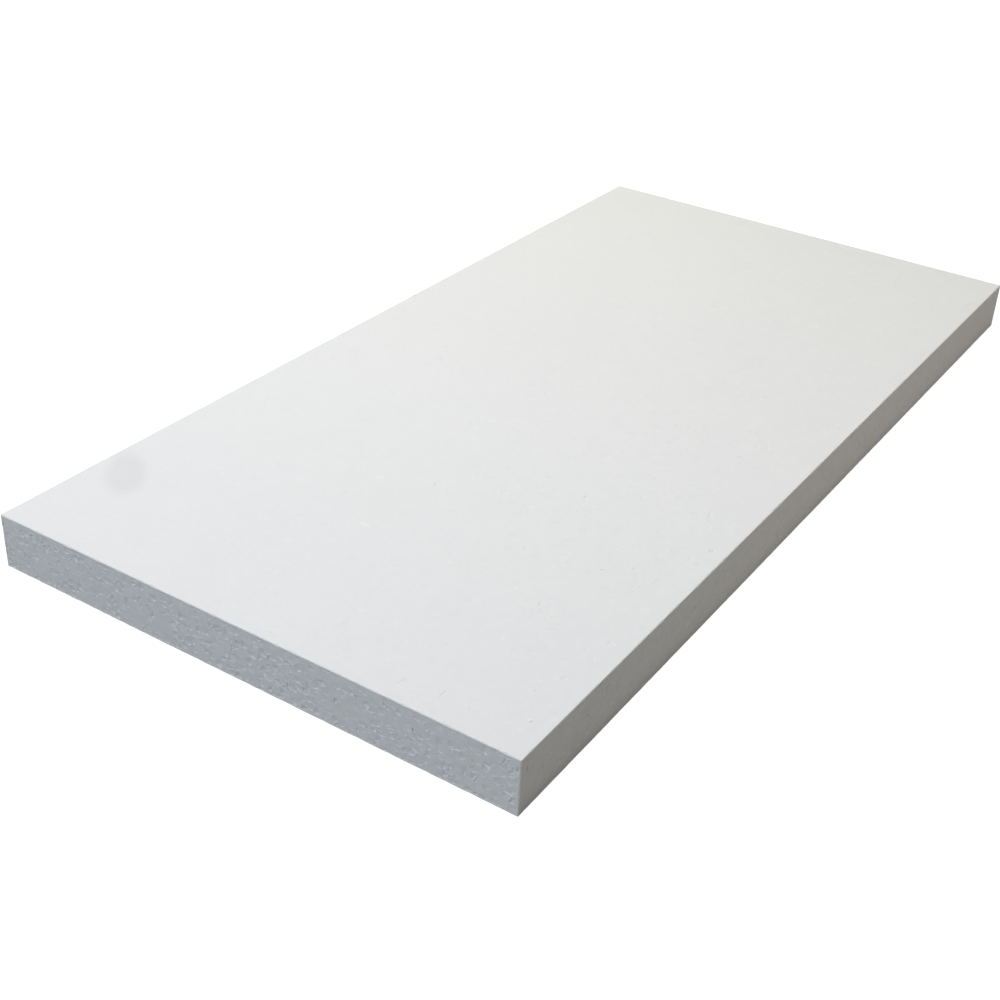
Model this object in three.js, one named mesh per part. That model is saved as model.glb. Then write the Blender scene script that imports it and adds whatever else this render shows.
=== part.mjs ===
// Expanded polystyrene insulation board: one block of fused foam beads, cut square on all six faces.
// Units are millimetres and +Z is up. The origin is the middle of the face that lies down,
// with +X along the board's length and +Y along its width.

import * as THREE from "three";
import { RoundedBoxGeometry } from "three/addons/geometries/RoundedBoxGeometry.js";

// Driving dimensions of the board
const BOARD_LENGTH = 1000;
const BOARD_WIDTH = 500;
const BOARD_THICKNESS = 50;

// The hot wire leaves every edge slightly blunted instead of knife sharp
const EDGE_ROUNDING = 0.8;
const ROUNDING_STEPS = 3;

// Foam colour and surface
const FOAM_COLOUR = 0xeceeee;
const FOAM_ROUGHNESS = 0.75;
const FOAM_METALNESS = 0;

function foamMaterial() {
  return new THREE.MeshStandardMaterial({
    color: FOAM_COLOUR,
    roughness: FOAM_ROUGHNESS,
    metalness: FOAM_METALNESS,
  });
}

function makeInsulationBoard() {
  const block = new RoundedBoxGeometry(
    BOARD_LENGTH,
    BOARD_WIDTH,
    BOARD_THICKNESS,
    ROUNDING_STEPS,
    EDGE_ROUNDING,
  );
  const board = new THREE.Mesh(block, foamMaterial());
  board.name = "insulation_board";
  // The geometry is centred on its middle, so half the thickness sets the lower face on z = 0
  board.position.z = BOARD_THICKNESS / 2;
  return board;
}

const part = new THREE.Group();
part.add(makeInsulationBoard());

export default part;
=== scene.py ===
import math
from collections import namedtuple

import bmesh
import bpy
import numpy as np
from mathutils import Euler, Matrix, Vector, noise
from mathutils.geometry import delaunay_2d_cdt


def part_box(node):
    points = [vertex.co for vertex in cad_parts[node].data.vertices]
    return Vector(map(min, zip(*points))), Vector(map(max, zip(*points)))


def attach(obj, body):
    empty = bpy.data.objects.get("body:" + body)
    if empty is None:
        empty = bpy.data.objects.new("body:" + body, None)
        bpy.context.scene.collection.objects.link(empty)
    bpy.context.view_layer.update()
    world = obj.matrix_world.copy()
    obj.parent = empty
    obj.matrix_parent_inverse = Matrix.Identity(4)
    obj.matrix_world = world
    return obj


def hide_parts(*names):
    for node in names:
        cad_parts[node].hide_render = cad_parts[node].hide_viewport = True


# White expanded polystyrene board. The beads that show on its sides are sections of one packing of
# beads in space: the mesh takes its relief from that packing and the material its mosaic.
# All lengths are in metres, and u and v are directions along a side.

MM = 0.001

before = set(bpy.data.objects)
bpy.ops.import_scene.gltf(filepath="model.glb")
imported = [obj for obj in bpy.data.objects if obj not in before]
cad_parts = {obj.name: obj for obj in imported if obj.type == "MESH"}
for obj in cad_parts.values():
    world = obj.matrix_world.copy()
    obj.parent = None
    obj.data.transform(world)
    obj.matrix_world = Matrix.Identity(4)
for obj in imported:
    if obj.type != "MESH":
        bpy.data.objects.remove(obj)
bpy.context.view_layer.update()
BOARD_LOW, BOARD_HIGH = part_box("insulation_board")
BOARD_CENTRE = (BOARD_LOW + BOARD_HIGH) / 2
HALF_SIZE = (BOARD_HIGH - BOARD_LOW) / 2
X_AXIS = Vector((1, 0, 0))
Y_AXIS = Vector((0, 1, 0))
Z_AXIS = Vector((0, 0, 1))

# Camera, fitted to the seven corners of the board that the photograph shows. The shift is there
# because the photograph is cropped off centre.
CAMERA_PLACE = Vector((-1.1529, -0.6357, 0.7133))
CAMERA_TARGET = Vector((-0.1931, -0.0463, 0.025))
CAMERA_ROLL = math.radians(3.14)
CAMERA_LENS = 54.52
CAMERA_SHIFT = -0.016

# Beads: one random point in each cell of a grid, turned so that no side is parallel to the grid
BEAD_SPACING = 5.6 * MM
BEAD_RANDOMNESS = 0.82
PATTERN_TURN = Euler((0.52, 0.83, 0.31))

# Search for the beads that a side cuts, in bead spacings: the step between the places looked at, how
# far past the side they go, and how far away a neighbour can still share a seam with a bead
SAMPLE_STEP = 0.22
SAMPLE_REACH = 2
NEIGHBOUR_REACH = 2.4

# Arris: the narrow rounding that the hot wire leaves along every edge. The deepest nick in it is a
# share of the radius, and a higher power makes deep nicks rarer.
ARRIS_RADIUS = 0.8 * MM
ARRIS_STEPS = 3
ARRIS_STATION = 6 * MM
ARRIS_NICK = 0.55
NICK_POWER = 4

# How a side looks: the share of its beads that stand out, how deep those sink on average and at most,
# how far their tops lean, which part of a bead its sloping wall takes, how far the deepest part hangs
# down towards the side's lower edge as a share of the wall, and how many crumbs stick to it
Finish = namedtuple("Finish", "share mean_depth most_depth lean walls hang crumbs")
END_FINISH = Finish(0.92, 0.48 * MM, 1.3 * MM, math.radians(5), (0.50, 0.85), 0.85, 60)
SIDE_FINISH = Finish(0.36, 0.24 * MM, 0.9 * MM, math.radians(5), (0.40, 0.75), 0.8, 30)
TOP_FINISH = Finish(0.08, 0.18 * MM, 0.45 * MM, math.radians(4), (0.20, 0.55), 0.0, 60)
BOTTOM_FINISH = Finish(0.09, 0.17 * MM, 0.45 * MM, math.radians(4), (0.20, 0.50), 0.0, 0)

# A bead's seam and crown, and how far its middle is hollowed as a share of its depth
SEAM_DEPTH = (0.02 * MM, 0.09 * MM)
CROWN = (0.02 * MM, 0.14 * MM)
BOWL = 0.25

# Crumbs: lumps with a ragged foot. Height, tip shift and the level part of those on the top are
# shares of the radius. The photograph shows one large crumb near the front right corner.
CRUMB_RADIUS = (0.6 * MM, 1.2 * MM)
CRUMB_LEAST_REACH = 0.6
CRUMB_SLOPE = (0.30, 0.60)
CRUMB_LEVEL = 0.6
CRUMB_TIP_SHIFT = 0.2
CRUMB_CORNERS = 5
CRUMB_TRIES = 40
CORNER_CRUMB = (-0.4625, -0.2325)
CORNER_CRUMB_RADIUS = 2.0 * MM

# How much more or less of a finish applies from place to place. On the top more beads stand out
# towards the right long edge, in patches, and fewer near the front end. On the long sides more of
# them do towards the front end. A try for a crumb always succeeds where the most is wanted.
TOP_LEAST_WANTED = 0.08
TOP_MORE_WANTED = 1.75
TOP_WANTED_POWER = 1.7
SPECK_PATCH_SIZE = 0.07
FRONT_LEAST_WANTED = 0.2
FRONT_FADE_PER_METRE = 2.7
LONG_LEAST_WANTED = 0.45
LONG_MORE_WANTED = 1.1
MOST_WANTED = 4.0

# Faint ridges across parts of the top. A higher power leaves fewer of their humps to show.
RIDGE_PLACE = -0.335
RIDGE_ENDS = (-0.216, 0.024)
FAR_RIDGE_PLACE = 0.467
FAR_RIDGE_ENDS = (-0.225, 0.140)
RIDGE_SWAY = 2.5 * MM
RIDGE_WAVE = 0.045
RIDGE_STEP = 6 * MM
RIDGE_HALF_WIDTH = 2.0 * MM
RIDGE_HEIGHT = 0.25 * MM
RIDGE_POWER = 3

# Mesh: bead outlines snap to a fine grid, and loose points fill the flat parts. The flat margin keeps
# these points and the crumbs off the edges, and the relief margin the beads. The jitter is how far a
# point moves at random, as a share of its row's spacing.
SNAP = 0.3 * MM
SAME_PLACE = 0.01 * MM
WELD = 0.001 * MM
LEAST_SECTION = 4 * MM * MM
FILL_SPACING = 26 * MM
FLAT_MARGIN = 4 * MM
RELIEF_MARGIN = 0.4 * MM
JITTER = 0.3
CRISP_ANGLE = math.radians(6)
RANDOM_SEED = 5

# Foam surface: sizes of its marks, and how much each of them changes the tone or stands proud. Flat is
# for the top and bottom, and cut for the narrow sides. Reaches are shares of a bead or cell. The
# patches and pores show where noise around 0.5 passes between its two limits.
FOAM_COLOUR = (0.80, 0.815, 0.825)
NARROW_SIDE_DEPTH = 1.6 * MM
FOAM_ROUGHNESS = 0.57
BEAD_ROUGHNESS_RANGE = 0.14
CELL_ROUGHNESS_RANGE = 0.16
FOAM_SPECULAR = 0.35
BEAD_TONE_FLAT = 0.005
BEAD_TONE_CUT = 0.020
# Painted glints and painted shade of small pits: the shares of beads lightened, and as many darkened, at
# the right and left long edges, and by how much
GLINT_AND_PIT_SHARE_RIGHT = 0.035
GLINT_AND_PIT_SHARE_LEFT = 0.002
GLINT_AND_PIT_TONE = 0.014
HUE_PATCH_SIZE = 9 * MM
HUE_RANGE = 0.025
NOISE_DETAIL = 2.0
NOISE_ROUGHNESS = 0.55
MOTTLE_SIZE = 45 * MM
MOTTLE_TONE = 0.010
CELL_SIZE = 0.42 * MM
CELL_REACH = 0.75
CELL_TONE = 0.020
CELL_HEIGHT = 0.030 * MM
SEAM_REACH = 0.045
SEAM_SHADE_FLAT = 0.025
SEAM_SHADE_CUT = 0.070
SEAM_PATCH_SIZE = 3.5 * MM
SEAM_PATCH_LIMITS = (0.35, 0.65)
SEAM_LEAST_SHADE = 0.25
PORE_SIZE = 0.9 * MM
PORE_LIMITS = (0.58, 0.68)
PORE_REACH = 0.10
PORE_SHADE_FLAT = 0.03
PORE_SHADE_CUT = 0.10
# Painted highlight: parts that stand out of the block, the crumbs and the ridges' humps, are lightened by
# this factor between these two heights, to read as bright glints
RAISED_HIGHLIGHT_TONE = 1.17
RAISED_HIGHLIGHT_HEIGHTS = (0.1 * MM, 0.25 * MM)
PILLOW_REACH = 0.22
PILLOW_HEIGHT = 0.035 * MM
SMUDGE_PLACE = (-0.393, 0.219, 0.05)
SMUDGE_TURN = math.radians(45)
SMUDGE_HALF_LENGTH = 42 * MM
SMUDGE_HALF_WIDTH = 21 * MM
SMUDGE_HALF_HEIGHT = 8 * MM
SMUDGE_FADE = (0.45, 1.1)
SMUDGE_SHADE = 0.925

# Floor and backdrop, which glow by themselves so that they are as white as in the photograph
FLOOR_RADIUS = 5.0
WALL_CURVE = 1.5
WALL_HEIGHT = 4.0
FLOOR_CURVE_STEPS = 12
FLOOR_ROUND_STEPS = 96
FLOOR_BASE = 0.2
FLOOR_GLOW = 1.0

# Dark strip on the floor beside the long side
SHADE_WIDTH = 8 * MM
SHADE_LIFT = 0.1 * MM

# Lamps, fitted to the tones of the photograph, with sizes in metres and powers in watts
Softbox = namedtuple("Softbox", "name place target width height power colour")
SOFTBOXES = [
    Softbox("overhead", (-0.1, 0.6, 2.1), (-0.1, 0.5, 0.0), 1.6, 1.6, 31.5, (0.957, 0.94, 1.0)),
    Softbox("high_left", (-2.2, 0.3, 2.2), (-0.4, 0.0, 0.03), 1.8, 1.4, 11.0, (0.86, 0.93, 1.0)),
    Softbox("cool_left", (-3.0, 0.3, 1.1), (-0.5, 0.0, 0.03), 3.0, 1.2, 19.0, (0.82, 0.90, 1.0)),
    Softbox("low_right", (0.3, -1.2, 0.4), (0.2, -0.25, 0.03), 1.0, 0.5, 2.0, (1.0, 0.81, 0.62)),
    Softbox("warm_far", (1.6, 1.2, 1.6), (0.5, 0.2, 0.0), 1.0, 0.8, 10.6, (1.0, 0.90, 0.39)),
    Softbox("soft_back", (2.2, 2.6, 1.0), (0.0, 0.0, 0.03), 1.6, 1.0, 5.0, (1.0, 0.97, 0.92)),
]
ROOM_COLOUR = (0.975, 1.0, 0.983, 1)
ROOM_STRENGTH = 0.207


def make_camera():
    data = bpy.data.cameras.new("camera")
    data.sensor_width = 36
    data.lens = CAMERA_LENS
    data.shift_x = CAMERA_SHIFT
    camera = bpy.data.objects.new("camera", data)
    bpy.context.scene.collection.objects.link(camera)
    level = (CAMERA_TARGET - CAMERA_PLACE).to_track_quat("-Z", "Y").to_matrix()
    turned = level @ Matrix.Rotation(CAMERA_ROLL, 3, "Z")
    camera.rotation_euler = turned.to_euler()
    camera.location = CAMERA_PLACE
    bpy.context.scene.camera = camera


class Side:
    """One flat side of the board, with its own u and v directions, and heights above it."""

    def __init__(self, normal, u_axis, finish):
        self.normal = normal
        self.u_axis = u_axis
        self.v_axis = normal.cross(u_axis)
        self.finish = finish
        self.half_u = abs(HALF_SIZE.dot(u_axis))
        self.half_v = abs(HALF_SIZE.dot(self.v_axis))
        self.centre = BOARD_CENTRE + normal * abs(HALF_SIZE.dot(normal))
        self.frame = np.array((self.u_axis, self.v_axis, self.normal))

    def places(self, points, heights):
        """Board coordinates of points given by u and v, at the given heights."""
        local = np.column_stack((points, heights))
        return local @ self.frame + np.array(self.centre)

    def local(self, places):
        """The u, v and height of places given in board coordinates."""
        return (places - np.array(self.centre)) @ self.frame.T

    def wanted(self, u, v):
        """How much of the finish's share applies at a point."""
        return 1.0


class TopSide(Side):
    """The upper side, which also has the ridges."""

    def wanted(self, u, v):
        """Few specks at the left long edge and the front end, more in patches towards the right."""
        ridges = (RIDGE_PLACE, FAR_RIDGE_PLACE)
        if min(abs(u - ridge_place(middle, v)) for middle in ridges) < BEAD_SPACING:
            return 0.0
        rightness = 0.5 - v / (2 * self.half_v)
        across = TOP_LEAST_WANTED + TOP_MORE_WANTED * rightness ** TOP_WANTED_POWER
        patch = 1 + noise.noise(Vector((u, v, 0)) / SPECK_PATCH_SIZE)
        fade = min(1.0, FRONT_LEAST_WANTED + FRONT_FADE_PER_METRE * (u + self.half_u))
        return across * patch ** 2 * fade


class LongSide(Side):
    """One of the two long narrow sides."""

    def wanted(self, u, v):
        """More flecks towards the front end."""
        frontness = 0.5 - (self.centre + self.u_axis * u).x / (2 * HALF_SIZE.x)
        return LONG_LEAST_WANTED + LONG_MORE_WANTED * frontness


def ridge_place(middle, v):
    """Where along the board a ridge that the hot wire left lies, at a place across its width."""
    return middle + RIDGE_SWAY * math.sin(v / RIDGE_WAVE)


def add_ridge(relief, middle, start, end, rng):
    """A low, broken ridge across the top, where the hot wire slowed down."""
    count = round((end - start) / RIDGE_STEP)
    across = [start + RIDGE_STEP * step for step in range(count + 1)]
    for offset in (-RIDGE_HALF_WIDTH, 0, RIDGE_HALF_WIDTH):
        first = len(relief.points)
        for number, v in enumerate(across):
            inside = 0 < number < count and offset == 0
            height = RIDGE_HEIGHT * rng.random() ** RIDGE_POWER if inside else 0
            relief.add_point((ridge_place(middle, v) + offset, v), height)
        relief.lines += [(first + i, first + i + 1) for i in range(count)]


def pattern_matrix():
    """Turns board coordinates into the bead pattern's own, where beads are about 1 apart."""
    return np.array(PATTERN_TURN.to_matrix()) / BEAD_SPACING


def bead_finder():
    """Geometry nodes that store, at each point, the centre of the bead that it is in."""
    group = bpy.data.node_groups.new("bead_finder", "GeometryNodeTree")
    for way in ("INPUT", "OUTPUT"):
        group.interface.new_socket("Geometry", in_out=way, socket_type="NodeSocketGeometry")
    start = group.nodes.new("NodeGroupInput")
    end = group.nodes.new("NodeGroupOutput")
    position = group.nodes.new("GeometryNodeInputPosition")
    beads = group.nodes.new("ShaderNodeTexVoronoi")
    beads.inputs["Scale"].default_value = 1
    beads.inputs["Randomness"].default_value = BEAD_RANDOMNESS
    store = group.nodes.new("GeometryNodeStoreNamedAttribute")
    store.data_type = "FLOAT_VECTOR"
    store.inputs["Name"].default_value = "bead"
    group.links.new(start.outputs[0], store.inputs["Geometry"])
    group.links.new(position.outputs["Position"], beads.inputs["Vector"])
    group.links.new(beads.outputs["Position"], store.inputs["Value"])
    group.links.new(store.outputs["Geometry"], end.inputs[0])
    return group


def nearest_beads(places):
    """For each place, the centre of the bead that it is in, in board coordinates."""
    matrix = pattern_matrix()
    mesh = bpy.data.meshes.new("places")
    mesh.vertices.add(len(places))
    mesh.vertices.foreach_set("co", (places @ matrix.T).astype(np.float32).ravel())
    probe = bpy.data.objects.new("places", mesh)
    bpy.context.scene.collection.objects.link(probe)
    group = bead_finder()
    probe.modifiers.new("bead_finder", "NODES").node_group = group

    found = probe.evaluated_get(bpy.context.evaluated_depsgraph_get()).data
    centres = np.empty(len(places) * 3, np.float32)
    found.attributes["bead"].data.foreach_get("vector", centres)
    centres = centres.reshape(-1, 3).astype(float) @ np.linalg.inv(matrix).T
    bpy.data.objects.remove(probe)
    bpy.data.meshes.remove(mesh)
    bpy.data.node_groups.remove(group)
    return centres


def beads_cut_by(side):
    """The beads that a side cuts, as u, v and height of their centres."""
    step = SAMPLE_STEP * BEAD_SPACING
    reach = SAMPLE_REACH * BEAD_SPACING
    across = np.arange(-side.half_u - reach, side.half_u + reach, step)
    up = np.arange(-side.half_v - reach, side.half_v + reach, step)
    grid = np.stack(np.meshgrid(across, up), -1).reshape(-1, 2)
    centres = nearest_beads(side.places(grid, np.zeros(len(grid))))
    rounded = np.round(centres / SAME_PLACE).astype(np.int64)
    first = np.unique(rounded, axis=0, return_index=True)[1]
    return side.local(centres[np.sort(first)])


def clip(outline, direction, limit):
    """The part of a convex outline where the dot product with direction is at most limit."""
    kept = []
    for here, after in zip(outline, outline[1:] + outline[:1]):
        here_over = here[0] * direction[0] + here[1] * direction[1] - limit
        after_over = after[0] * direction[0] + after[1] * direction[1] - limit
        if here_over <= 0:
            kept.append(here)
        if (here_over < 0 < after_over) or (after_over < 0 < here_over):
            t = here_over / (here_over - after_over)
            kept.append((here[0] + t * (after[0] - here[0]), here[1] + t * (after[1] - here[1])))
    return kept


def section_outline(bead, others, side):
    """Outline of one bead's section on a side, cut by its neighbours' and the side's own limits."""
    limit_u = side.half_u - ARRIS_RADIUS - RELIEF_MARGIN
    limit_v = side.half_v - ARRIS_RADIUS - RELIEF_MARGIN
    outline = [(-limit_u, -limit_v), (limit_u, -limit_v), (limit_u, limit_v), (-limit_u, limit_v)]
    for other in others:
        direction = 2 * (other[:2] - bead[:2])
        outline = clip(outline, direction, other @ other - bead @ bead)
        if len(outline) < 3:
            return []
    snapped = [(round(u / SNAP) * SNAP, round(v / SNAP) * SNAP) for u, v in outline]
    return [p for p, q in zip(snapped, snapped[1:] + snapped[:1]) if p != q]


class Relief:
    """Points with heights, and the lines between them, that one side's surface passes through."""

    def __init__(self):
        self.points = []
        self.heights = []
        self.lines = []

    def add_point(self, point, height):
        self.points.append((float(point[0]), float(point[1])))
        self.heights.append(float(height))

    def add_loop(self, points, heights):
        first = len(self.points)
        for point, height in zip(points, heights):
            self.add_point(point, height)
        count = len(points)
        self.lines += [(first + i, first + (i + 1) % count) for i in range(count)]


def add_bead(relief, outline, finish, rng):
    """One bead's sloping wall and sunk, leaning top, which is crowned where flush and hollow where deep."""
    outline = np.array(outline)
    middle = outline.mean(axis=0)
    depth = min(rng.exponential(finish.mean_depth), finish.most_depth)
    wall = rng.uniform(*finish.walls)
    pit = middle - (0, finish.hang * wall * (middle[1] - outline[:, 1].min()))
    inner = pit + (outline - middle) * (1 - wall)
    lean_way = rng.uniform(0, math.tau)
    lean = math.tan(rng.uniform(0, finish.lean))
    slope = lean * np.array((math.cos(lean_way), math.sin(lean_way)))
    seam = rng.uniform(*SEAM_DEPTH)
    crown = rng.uniform(*CROWN) - BOWL * depth
    relief.add_loop(outline, np.full(len(outline), -seam))
    relief.add_loop(inner, np.minimum(0, (inner - pit) @ slope - depth))
    relief.add_point(pit, min(0, crown - depth))


def add_crumb(relief, side, middle, radius, rng):
    """A low lump, pointed on the narrow sides and level on the top."""
    angles = np.arange(CRUMB_CORNERS) + rng.uniform(-JITTER, JITTER, CRUMB_CORNERS)
    angles = angles * math.tau / CRUMB_CORNERS + rng.uniform(0, math.tau)
    reach = radius * rng.uniform(CRUMB_LEAST_REACH, 1.0, (CRUMB_CORNERS, 1))
    foot = reach * np.column_stack((np.cos(angles), np.sin(angles)))
    tip = middle + CRUMB_TIP_SHIFT * radius * rng.uniform(-1, 1, 2)
    height = radius * rng.uniform(*CRUMB_SLOPE)
    relief.add_loop(middle + foot, np.zeros(CRUMB_CORNERS))
    if isinstance(side, TopSide):
        relief.add_loop(middle + CRUMB_LEVEL * foot, np.full(CRUMB_CORNERS, height))
    else:
        relief.add_point(tip, height)


def add_crumbs(relief, side, taken, rng):
    """Small crumbs of foam between the beads that stand out, which show as bright dots, helped by a painted
    highlight in the foam's colour.
    """
    wanted = side.finish.crumbs
    reach = 0.5 * BEAD_SPACING + CRUMB_RADIUS[1]
    limits = np.array((side.half_u, side.half_v)) - FLAT_MARGIN
    for _ in range(CRUMB_TRIES * wanted):
        middle = rng.uniform(-1, 1, 2) * limits
        if wanted == 0 or rng.uniform(0, MOST_WANTED) > side.wanted(*middle):
            continue
        if np.min(np.linalg.norm(np.array(taken) - middle, axis=1)) > reach:
            add_crumb(relief, side, middle, rng.uniform(*CRUMB_RADIUS), rng)
            taken.append(middle)
            wanted -= 1


def stations(half_length, rng):
    """Uneven places along an edge, between the two corner roundings."""
    end = half_length - ARRIS_RADIUS
    count = round(2 * end / ARRIS_STATION)
    even = np.linspace(-end, end, count + 1)
    shift = rng.uniform(-JITTER, JITTER, count + 1) * ARRIS_STATION
    shift[[0, -1]] = 0
    return even + shift


def add_border(relief, side, edge_stations):
    """The side's rectangular border, with the stations that its edges share with other sides."""
    end_u = side.half_u - ARRIS_RADIUS
    end_v = side.half_v - ARRIS_RADIUS
    along_u = edge_stations[axis_of(side.u_axis)] * sign_of(side.u_axis)
    along_v = edge_stations[axis_of(side.v_axis)] * sign_of(side.v_axis)
    along_u = np.sort(along_u)
    along_v = np.sort(along_v)
    loop = [(u, -end_v) for u in along_u]
    loop += [(end_u, v) for v in along_v[1:]]
    loop += [(u, end_v) for u in along_u[::-1][1:]]
    loop += [(-end_u, v) for v in along_v[::-1][1:-1]]
    relief.add_loop(loop, np.zeros(len(loop)))


def axis_of(direction):
    return int(np.argmax(np.abs(direction)))


def sign_of(direction):
    return 1 if sum(direction) > 0 else -1


def add_fill(relief, side, taken, rng):
    """Loose points between the beads, so that the flat parts keep well-shaped triangles."""
    limit_u = side.half_u - FLAT_MARGIN
    limit_v = side.half_v - FLAT_MARGIN
    count_u = max(2, round(2 * limit_u / FILL_SPACING))
    count_v = max(2, round(2 * limit_v / FILL_SPACING))
    for u in np.linspace(-limit_u, limit_u, count_u):
        for v in np.linspace(-limit_v, limit_v, count_v):
            point = np.array((u, v)) + rng.uniform(-JITTER, JITTER, 2) * FILL_SPACING
            point = np.clip(point, (-limit_u, -limit_v), (limit_u, limit_v))
            if np.min(np.linalg.norm(taken - point, axis=1)) > BEAD_SPACING:
                relief.add_point(point, 0)


def add_ridges(relief, rng):
    """The ridges on the top. Returns the places that they take."""
    before = len(relief.points)
    add_ridge(relief, RIDGE_PLACE, *RIDGE_ENDS, rng)
    add_ridge(relief, FAR_RIDGE_PLACE, *FAR_RIDGE_ENDS, rng)
    return [np.array(point) for point in relief.points[before:]]


def add_beads(relief, side, rng):
    """The beads that stand out on a side. Returns the places that they take."""
    beads = beads_cut_by(side)
    taken = []
    for bead in beads:
        if rng.random() > side.finish.share * side.wanted(bead[0], bead[1]):
            continue
        if isinstance(side, TopSide) and math.dist(bead[:2], CORNER_CRUMB) < BEAD_SPACING:
            continue
        near = np.linalg.norm(beads[:, :2] - bead[:2], axis=1)
        others = beads[(near < NEIGHBOUR_REACH * BEAD_SPACING) & (near > 0)]
        order = np.argsort(np.linalg.norm(others[:, :2] - bead[:2], axis=1))
        outline = section_outline(bead, others[order], side)
        if len(outline) >= 3 and outline_area(outline) > LEAST_SECTION:
            add_bead(relief, outline, side.finish, rng)
            taken.append(bead[:2])
    return taken


def side_surface(side, edge_stations, rng):
    """Corner places and triangles of one side."""
    on_top = isinstance(side, TopSide)
    relief = Relief()
    add_border(relief, side, edge_stations)
    taken = add_ridges(relief, rng) if on_top else []
    taken += add_beads(relief, side, rng)
    if on_top:
        add_crumb(relief, side, np.array(CORNER_CRUMB), CORNER_CRUMB_RADIUS, rng)
        taken.append(np.array(CORNER_CRUMB))
    add_crumbs(relief, side, taken, rng)
    add_fill(relief, side, np.array(taken), rng)
    return relief_surface(relief, side)


def relief_surface(relief, side):
    """Corner places and triangles of the surface through a relief's points and lines."""
    points = [Vector(point) for point in relief.points]
    result = delaunay_2d_cdt(points, relief.lines, [], 0, SAME_PLACE, True)
    corners, triangles, sources = result[0], result[2], result[3]
    # Points that fall together take their lower height, and a crossing of two lines that of a seam
    heights = [min((relief.heights[i] for i in source), default=-SEAM_DEPTH[0]) for source in sources]
    return side.places(np.array([tuple(c) for c in corners]), np.array(heights)), triangles


def outline_area(outline):
    pairs = zip(outline, outline[1:] + outline[:1])
    return abs(sum(a[0] * b[1] - b[0] * a[1] for a, b in pairs)) / 2


def arris_arc(centre, normal_a, normal_b, pull=0.0):
    """Points of the rounding from one side's border to the other's, pulled in where it is nicked."""
    places = []
    for step in range(ARRIS_STEPS + 1):
        angle = math.pi / 2 * step / ARRIS_STEPS
        outward = normal_a * math.cos(angle) + normal_b * math.sin(angle)
        ends = step in (0, ARRIS_STEPS)
        places.append(centre + outward * ARRIS_RADIUS * (1 if ends else 1 - pull))
    return places


def edge_surface(axis, normal_a, normal_b, along, rng):
    """Corner places and faces of the rounding along one edge."""
    inner = HALF_SIZE - Vector((ARRIS_RADIUS,) * 3)
    foot = BOARD_CENTRE + normal_a * abs(inner.dot(normal_a)) + normal_b * abs(inner.dot(normal_b))
    places, faces = [], []
    for number, distance in enumerate(along):
        at_end = number in (0, len(along) - 1)
        pull = 0 if at_end else ARRIS_NICK * rng.random() ** NICK_POWER
        arc = arris_arc(foot + axis * distance, normal_a, normal_b, pull)
        first = len(places)
        places += arc
        if number:
            for k in range(ARRIS_STEPS):
                here = first + k
                before = here - len(arc)
                faces.append((before, before + 1, here + 1, here))
    return places, faces


def corner_surface(signs):
    """Corner places and faces of the ball-shaped rounding at one corner of the board."""
    inner = HALF_SIZE - Vector((ARRIS_RADIUS,) * 3)
    centre = BOARD_CENTRE + Vector(s * c for s, c in zip(signs, inner))
    normals = [X_AXIS * signs[0], Y_AXIS * signs[1], Z_AXIS * signs[2]]
    loop = []
    for a, b in zip(normals, normals[1:] + normals[:1]):
        loop += arris_arc(centre, a, b)[:-1]
    tip = centre + Vector(signs).normalized() * ARRIS_RADIUS
    count = len(loop)
    return loop + [tip], [(i, (i + 1) % count, count) for i in range(count)]


def board_sides():
    return [
        TopSide(Z_AXIS, X_AXIS, TOP_FINISH),
        Side(-Z_AXIS, X_AXIS, BOTTOM_FINISH),
        Side(-X_AXIS, -Y_AXIS, END_FINISH),
        Side(X_AXIS, Y_AXIS, END_FINISH),
        LongSide(-Y_AXIS, X_AXIS, SIDE_FINISH),
        LongSide(Y_AXIS, -X_AXIS, SIDE_FINISH),
    ]


def make_board():
    """The whole board as one closed mesh."""
    rng = np.random.default_rng(RANDOM_SEED)
    edge_stations = []
    for half_length in HALF_SIZE:
        edge_stations.append(stations(half_length, rng))
    surfaces = [side_surface(side, edge_stations, rng) for side in board_sides()]
    axes = [X_AXIS, Y_AXIS, Z_AXIS]
    for number, axis in enumerate(axes):
        one, other = axes[(number + 1) % 3], axes[(number + 2) % 3]
        for sign_one in (-1, 1):
            for sign_other in (-1, 1):
                along = edge_stations[number]
                surfaces.append(edge_surface(axis, one * sign_one, other * sign_other, along, rng))
    for x in (-1, 1):
        for y in (-1, 1):
            for z in (-1, 1):
                surfaces.append(corner_surface((x, y, z)))

    shape = bmesh.new()
    for places, faces in surfaces:
        corners = [shape.verts.new(place) for place in places]
        for face in faces:
            shape.faces.new([corners[i] for i in face])
    bmesh.ops.remove_doubles(shape, verts=shape.verts, dist=WELD)
    bmesh.ops.recalc_face_normals(shape, faces=shape.faces)
    bmesh.ops.triangulate(shape, faces=shape.faces)
    mesh = bpy.data.meshes.new("foam_board")
    shape.to_mesh(mesh)
    shape.free()
    mesh.shade_smooth()
    mesh.set_sharp_from_angle(angle=CRISP_ANGLE)
    board = bpy.data.objects.new("foam_board", mesh)
    bpy.context.scene.collection.objects.link(board)
    return board


def add_node(tree, kind, inputs=None, **settings):
    """A shader node with its settings made, and its sockets set or linked."""
    made = tree.nodes.new(kind)
    for name, value in settings.items():
        setattr(made, name, value)
    for name, value in (inputs or {}).items():
        if isinstance(value, bpy.types.NodeSocket):
            tree.links.new(value, made.inputs[name])
        else:
            made.inputs[name].default_value = value
    return made


def calculate(tree, operation, first, second=0.0, third=0.0):
    inputs = {0: first, 1: second, 2: third}
    return add_node(tree, "ShaderNodeMath", inputs, operation=operation).outputs[0]


def calculate_vector(tree, operation, inputs):
    return add_node(tree, "ShaderNodeVectorMath", inputs, operation=operation).outputs["Vector"]


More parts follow.
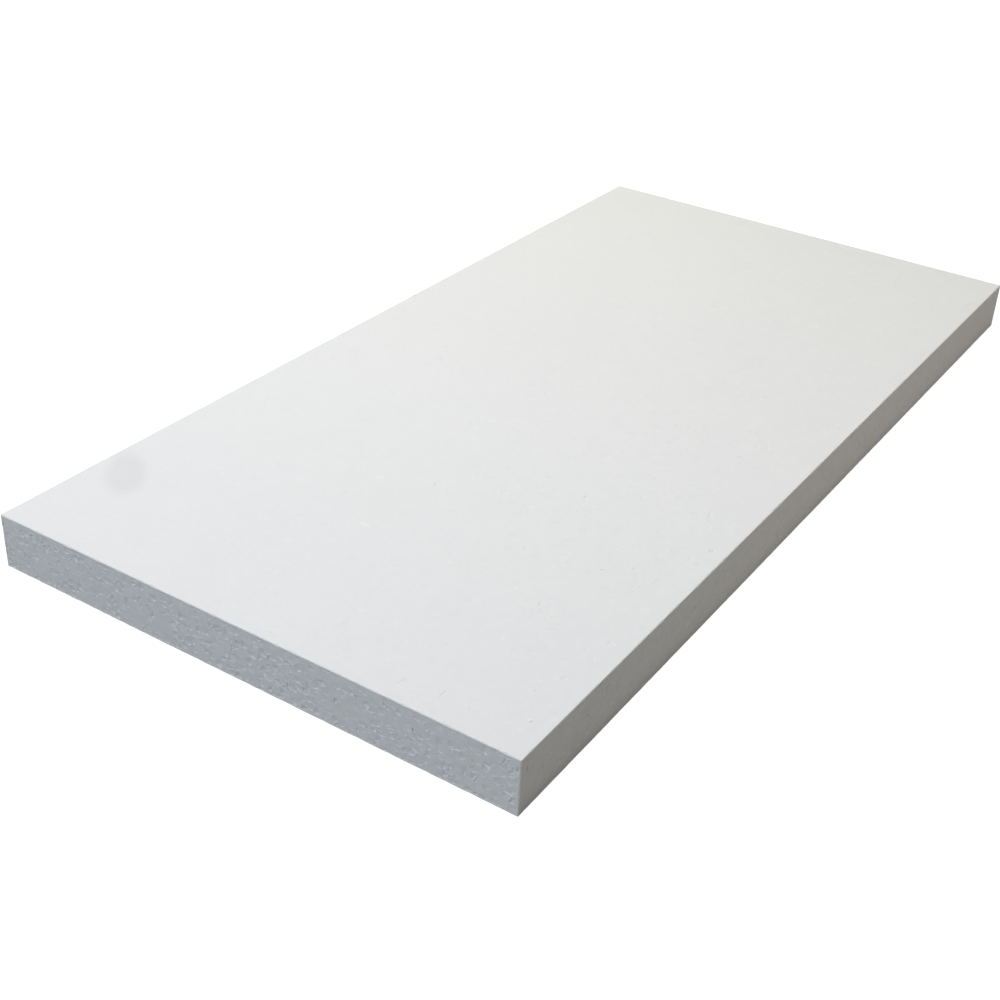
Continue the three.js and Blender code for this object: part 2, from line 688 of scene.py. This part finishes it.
def smooth_step(tree, value, low, high, to_low=0.0, to_high=1.0):
    inputs = {"Value": value, "From Min": low, "From Max": high, "To Min": to_low, "To Max": to_high}
    kind = "ShaderNodeMapRange"
    return add_node(tree, kind, inputs, interpolation_type="SMOOTHSTEP").outputs["Result"]


def noise_outputs(tree, place, size):
    """Smooth noise around 0.5 whose lumps are about the given size."""
    inputs = {"Vector": place, "Scale": 1 / size, "Detail": NOISE_DETAIL, "Roughness": NOISE_ROUGHNESS}
    return add_node(tree, "ShaderNodeTexNoise", inputs).outputs


def noise_value(tree, place, size):
    return noise_outputs(tree, place, size)["Fac"]


def around_one(tree, value, amount):
    """Turns a value around 0.5 into a factor around 1 that varies by the amount either way."""
    centred = calculate(tree, "MULTIPLY_ADD", value, 2.0, -1.0)
    return calculate(tree, "MULTIPLY_ADD", centred, amount, 1.0)


def under_one(tree, value, amount):
    """A factor that falls from 1 by the amount where the value is 1."""
    return calculate(tree, "SUBTRACT", 1.0, calculate(tree, "MULTIPLY", value, amount))


def by_side(tree, cut_side, on_flat, on_cut):
    """A number that has one value on the top and bottom and another on the narrow sides."""
    return calculate(tree, "MULTIPLY_ADD", cut_side, on_cut - on_flat, on_flat)


def smudge_shade(tree, place):
    """A factor that is a little under 1 inside the soft grey smudge on the top."""
    mapping = {
        "Vector": place,
        "Location": SMUDGE_PLACE,
        "Rotation": (0, 0, SMUDGE_TURN),
        "Scale": (SMUDGE_HALF_LENGTH, SMUDGE_HALF_WIDTH, SMUDGE_HALF_HEIGHT),
    }
    inside = add_node(tree, "ShaderNodeMapping", mapping, vector_type="TEXTURE").outputs["Vector"]
    reach = add_node(tree, "ShaderNodeVectorMath", {0: inside}, operation="LENGTH").outputs["Value"]
    return smooth_step(tree, reach, *SMUDGE_FADE, SMUDGE_SHADE, 1.0)


def painted_glints_and_pit_shade(tree, place, bead_random):
    """Painted glints and painted pit shade: lightens some beads and darkens as many, more of them towards
    the right long edge.
    """
    across = add_node(tree, "ShaderNodeSeparateXYZ", {0: place}).outputs["Y"]
    share = smooth_step(tree, across, -HALF_SIZE.y, HALF_SIZE.y, GLINT_AND_PIT_SHARE_RIGHT, GLINT_AND_PIT_SHARE_LEFT)
    light = calculate(tree, "LESS_THAN", bead_random, share)
    dark = calculate(tree, "GREATER_THAN", bead_random, calculate(tree, "SUBTRACT", 1.0, share))
    return calculate(tree, "MULTIPLY_ADD", calculate(tree, "SUBTRACT", light, dark), GLINT_AND_PIT_TONE, 1.0)


def hue_patches(tree, place, cut_side):
    """The foam's colour with a slight bluish and greenish drift, which shows on the narrow sides."""
    drift = noise_outputs(tree, place, HUE_PATCH_SIZE)["Color"]
    centred = calculate_vector(tree, "SUBTRACT", {0: drift, 1: (0.5, 0.5, 0.5)})
    amount = calculate(tree, "MULTIPLY", cut_side, 2 * HUE_RANGE)
    shift = calculate_vector(tree, "SCALE", {0: centred, "Scale": amount})
    return calculate_vector(tree, "ADD", {0: FOAM_COLOUR, 1: shift})


def cut_side_mask(tree, place):
    """1 on the four narrow sides, down to the bottoms of their beads, and 0 on the top and bottom."""
    parts = add_node(tree, "ShaderNodeSeparateXYZ", {0: place})
    masks = []
    for name, half in (("X", HALF_SIZE.x), ("Y", HALF_SIZE.y)):
        out = calculate(tree, "ABSOLUTE", parts.outputs[name])
        masks.append(calculate(tree, "GREATER_THAN", out, half - NARROW_SIDE_DEPTH))
    return calculate(tree, "MAXIMUM", *masks)


def height_above_side(tree, place):
    """How far a place stands out of the board's plain block, in metres."""
    parts = add_node(tree, "ShaderNodeSeparateXYZ", {0: place})
    heights = []
    for name, middle, half in zip("XYZ", BOARD_CENTRE, HALF_SIZE):
        out = calculate(tree, "ABSOLUTE", calculate(tree, "SUBTRACT", parts.outputs[name], middle))
        heights.append(calculate(tree, "SUBTRACT", out, half))
    return calculate(tree, "MAXIMUM", calculate(tree, "MAXIMUM", heights[0], heights[1]), heights[2])


def make_foam():
    """White fused beads: a faint mosaic with darker seams, grain inside each bead and soft mottling."""
    material = bpy.data.materials.new("eps_foam")
    material.use_nodes = True
    tree = material.node_tree
    surface = tree.nodes["Principled BSDF"]
    place = add_node(tree, "ShaderNodeTexCoord").outputs["Object"]
    mapping = {"Vector": place, "Rotation": PATTERN_TURN, "Scale": (1 / BEAD_SPACING,) * 3}
    bead_place = add_node(tree, "ShaderNodeMapping", mapping).outputs["Vector"]
    pattern = {"Vector": bead_place, "Scale": 1, "Randomness": BEAD_RANDOMNESS}
    beads = add_node(tree, "ShaderNodeTexVoronoi", pattern).outputs["Color"]
    bead_random = add_node(tree, "ShaderNodeSeparateColor", {0: beads}).outputs
    seam = add_node(tree, "ShaderNodeTexVoronoi", pattern, feature="DISTANCE_TO_EDGE").outputs["Distance"]
    cut_side = cut_side_mask(tree, place)

    cells = add_node(tree, "ShaderNodeTexVoronoi", {"Vector": place, "Scale": 1 / CELL_SIZE}).outputs
    cell_dome = smooth_step(tree, cells["Distance"], 0.0, CELL_REACH, 1.0, 0.0)
    cell_random = add_node(tree, "ShaderNodeSeparateColor", {0: cells["Color"]}).outputs[0]
    patch_noise = noise_value(tree, place, SEAM_PATCH_SIZE)
    patches = smooth_step(tree, patch_noise, *SEAM_PATCH_LIMITS, SEAM_LEAST_SHADE, 1.0)
    seam_near = smooth_step(tree, seam, 0.0, SEAM_REACH, 1.0, 0.0)
    pore_noise = smooth_step(tree, noise_value(tree, place, PORE_SIZE), *PORE_LIMITS)
    pores = calculate(tree, "MULTIPLY", smooth_step(tree, seam, 0.0, PORE_REACH, 1.0, 0.0), pore_noise)

    bead_range = by_side(tree, cut_side, BEAD_TONE_FLAT, BEAD_TONE_CUT)
    seam_shade = by_side(tree, cut_side, SEAM_SHADE_FLAT, SEAM_SHADE_CUT)
    tones = [
        around_one(tree, bead_random[0], bead_range),
        around_one(tree, noise_value(tree, place, MOTTLE_SIZE), MOTTLE_TONE),
        around_one(tree, cell_random, CELL_TONE),
        under_one(tree, calculate(tree, "MULTIPLY", seam_near, patches), seam_shade),
        under_one(tree, pores, by_side(tree, cut_side, PORE_SHADE_FLAT, PORE_SHADE_CUT)),
        # painted highlight: lighter colour on the crumbs and ridge humps
        smooth_step(tree, height_above_side(tree, place), *RAISED_HIGHLIGHT_HEIGHTS, 1.0, RAISED_HIGHLIGHT_TONE),
        smudge_shade(tree, place),
        # painted glints and painted pit shade on single beads
        painted_glints_and_pit_shade(tree, place, bead_random[2]),
    ]
    tone = tones[0]
    for other in tones[1:]:
        tone = calculate(tree, "MULTIPLY", tone, other)
    hue = hue_patches(tree, place, cut_side)
    colour = calculate_vector(tree, "SCALE", {0: hue, "Scale": tone})
    tree.links.new(colour, surface.inputs["Base Color"])

    rough = calculate(tree, "MULTIPLY_ADD", bead_random[1], BEAD_ROUGHNESS_RANGE, FOAM_ROUGHNESS)
    rough = calculate(tree, "MULTIPLY_ADD", cell_random, CELL_ROUGHNESS_RANGE, rough)
    tree.links.new(rough, surface.inputs["Roughness"])
    surface.inputs["Specular IOR Level"].default_value = FOAM_SPECULAR

    pillow = smooth_step(tree, seam, 0.0, PILLOW_REACH, 0.0, PILLOW_HEIGHT)
    height = calculate(tree, "MULTIPLY_ADD", cell_dome, CELL_HEIGHT, pillow)
    bump = add_node(tree, "ShaderNodeBump", {"Height": height, "Distance": 1.0, "Strength": 1.0})
    tree.links.new(bump.outputs["Normal"], surface.inputs["Normal"])
    return material


def matt_surface(name, base, glow):
    material = bpy.data.materials.new(name)
    material.use_nodes = True
    surface = material.node_tree.nodes["Principled BSDF"]
    surface.inputs["Base Color"].default_value = (base, base, base, 1)
    surface.inputs["Roughness"].default_value = 1
    surface.inputs["Specular IOR Level"].default_value = 0
    surface.inputs["Emission Color"].default_value = (1, 1, 1, 1)
    surface.inputs["Emission Strength"].default_value = glow
    return material


def make_floor():
    """A round pale floor that curves up into a wall far behind the board."""
    profile = [(0, 0), (0.5 * FLOOR_RADIUS, 0)]
    for step in range(FLOOR_CURVE_STEPS + 1):
        angle = math.pi / 2 * step / FLOOR_CURVE_STEPS
        profile.append((FLOOR_RADIUS + WALL_CURVE * math.sin(angle), WALL_CURVE * (1 - math.cos(angle))))
    profile.append((FLOOR_RADIUS + WALL_CURVE, WALL_HEIGHT))
    shape = bmesh.new()
    chain = [shape.verts.new((distance, 0, height)) for distance, height in profile]
    edges = [shape.edges.new(pair) for pair in zip(chain, chain[1:])]
    turn = {"axis": Z_AXIS, "cent": (0, 0, 0), "angle": math.tau, "steps": FLOOR_ROUND_STEPS}
    bmesh.ops.spin(shape, geom=chain + edges, **turn)
    bmesh.ops.remove_doubles(shape, verts=shape.verts, dist=SAME_PLACE)
    for face in shape.faces:
        face.smooth = True
    mesh = bpy.data.meshes.new("floor")
    shape.to_mesh(mesh)
    shape.free()
    floor = bpy.data.objects.new("floor", mesh)
    bpy.context.scene.collection.objects.link(floor)
    mesh.materials.append(matt_surface("floor", FLOOR_BASE, FLOOR_GLOW))
    # The floor is there for the camera alone, so that its light doesn't fill the board's sides
    floor.visible_diffuse = False
    floor.visible_glossy = False
    floor.visible_shadow = False


def make_contact_shade():
    """A dark strip under the long side, unseen itself, that keeps light from below off its lower part."""
    shape = bmesh.new()
    bmesh.ops.create_grid(shape, x_segments=1, y_segments=1, size=0.5)
    mesh = bpy.data.meshes.new("contact_shade")
    shape.to_mesh(mesh)
    shape.free()
    strip = bpy.data.objects.new("contact_shade", mesh)
    bpy.context.scene.collection.objects.link(strip)
    strip.scale = (2 * HALF_SIZE.x, SHADE_WIDTH, 1)
    strip.location = (0, -HALF_SIZE.y - SHADE_WIDTH / 2, SHADE_LIFT)
    mesh.materials.append(matt_surface("contact_shade", 0, 0))
    strip.visible_camera = False
    strip.visible_shadow = False


def make_softbox(box):
    data = bpy.data.lights.new(box.name, "AREA")
    data.shape = "RECTANGLE"
    data.size = box.width
    data.size_y = box.height
    data.energy = box.power
    data.color = box.colour
    light = bpy.data.objects.new(box.name, data)
    light.location = box.place
    light.visible_camera = False
    aim = Vector(box.target) - Vector(box.place)
    light.rotation_euler = aim.to_track_quat("-Z", "Y").to_euler()
    bpy.context.scene.collection.objects.link(light)


def make_room_light():
    """Even light from all round, as a pale room gives."""
    world = bpy.data.worlds.new("studio")
    world.use_nodes = True
    backdrop = world.node_tree.nodes["Background"]
    backdrop.inputs["Color"].default_value = ROOM_COLOUR
    backdrop.inputs["Strength"].default_value = ROOM_STRENGTH
    bpy.context.scene.world = world


make_camera()
board = make_board()
board.data.materials.append(make_foam())
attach(board, "root")
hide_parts("insulation_board")
make_floor()
make_contact_shade()
for softbox in SOFTBOXES:
    make_softbox(softbox)
make_room_light()
bpy.context.scene.view_settings.view_transform = "Standard"
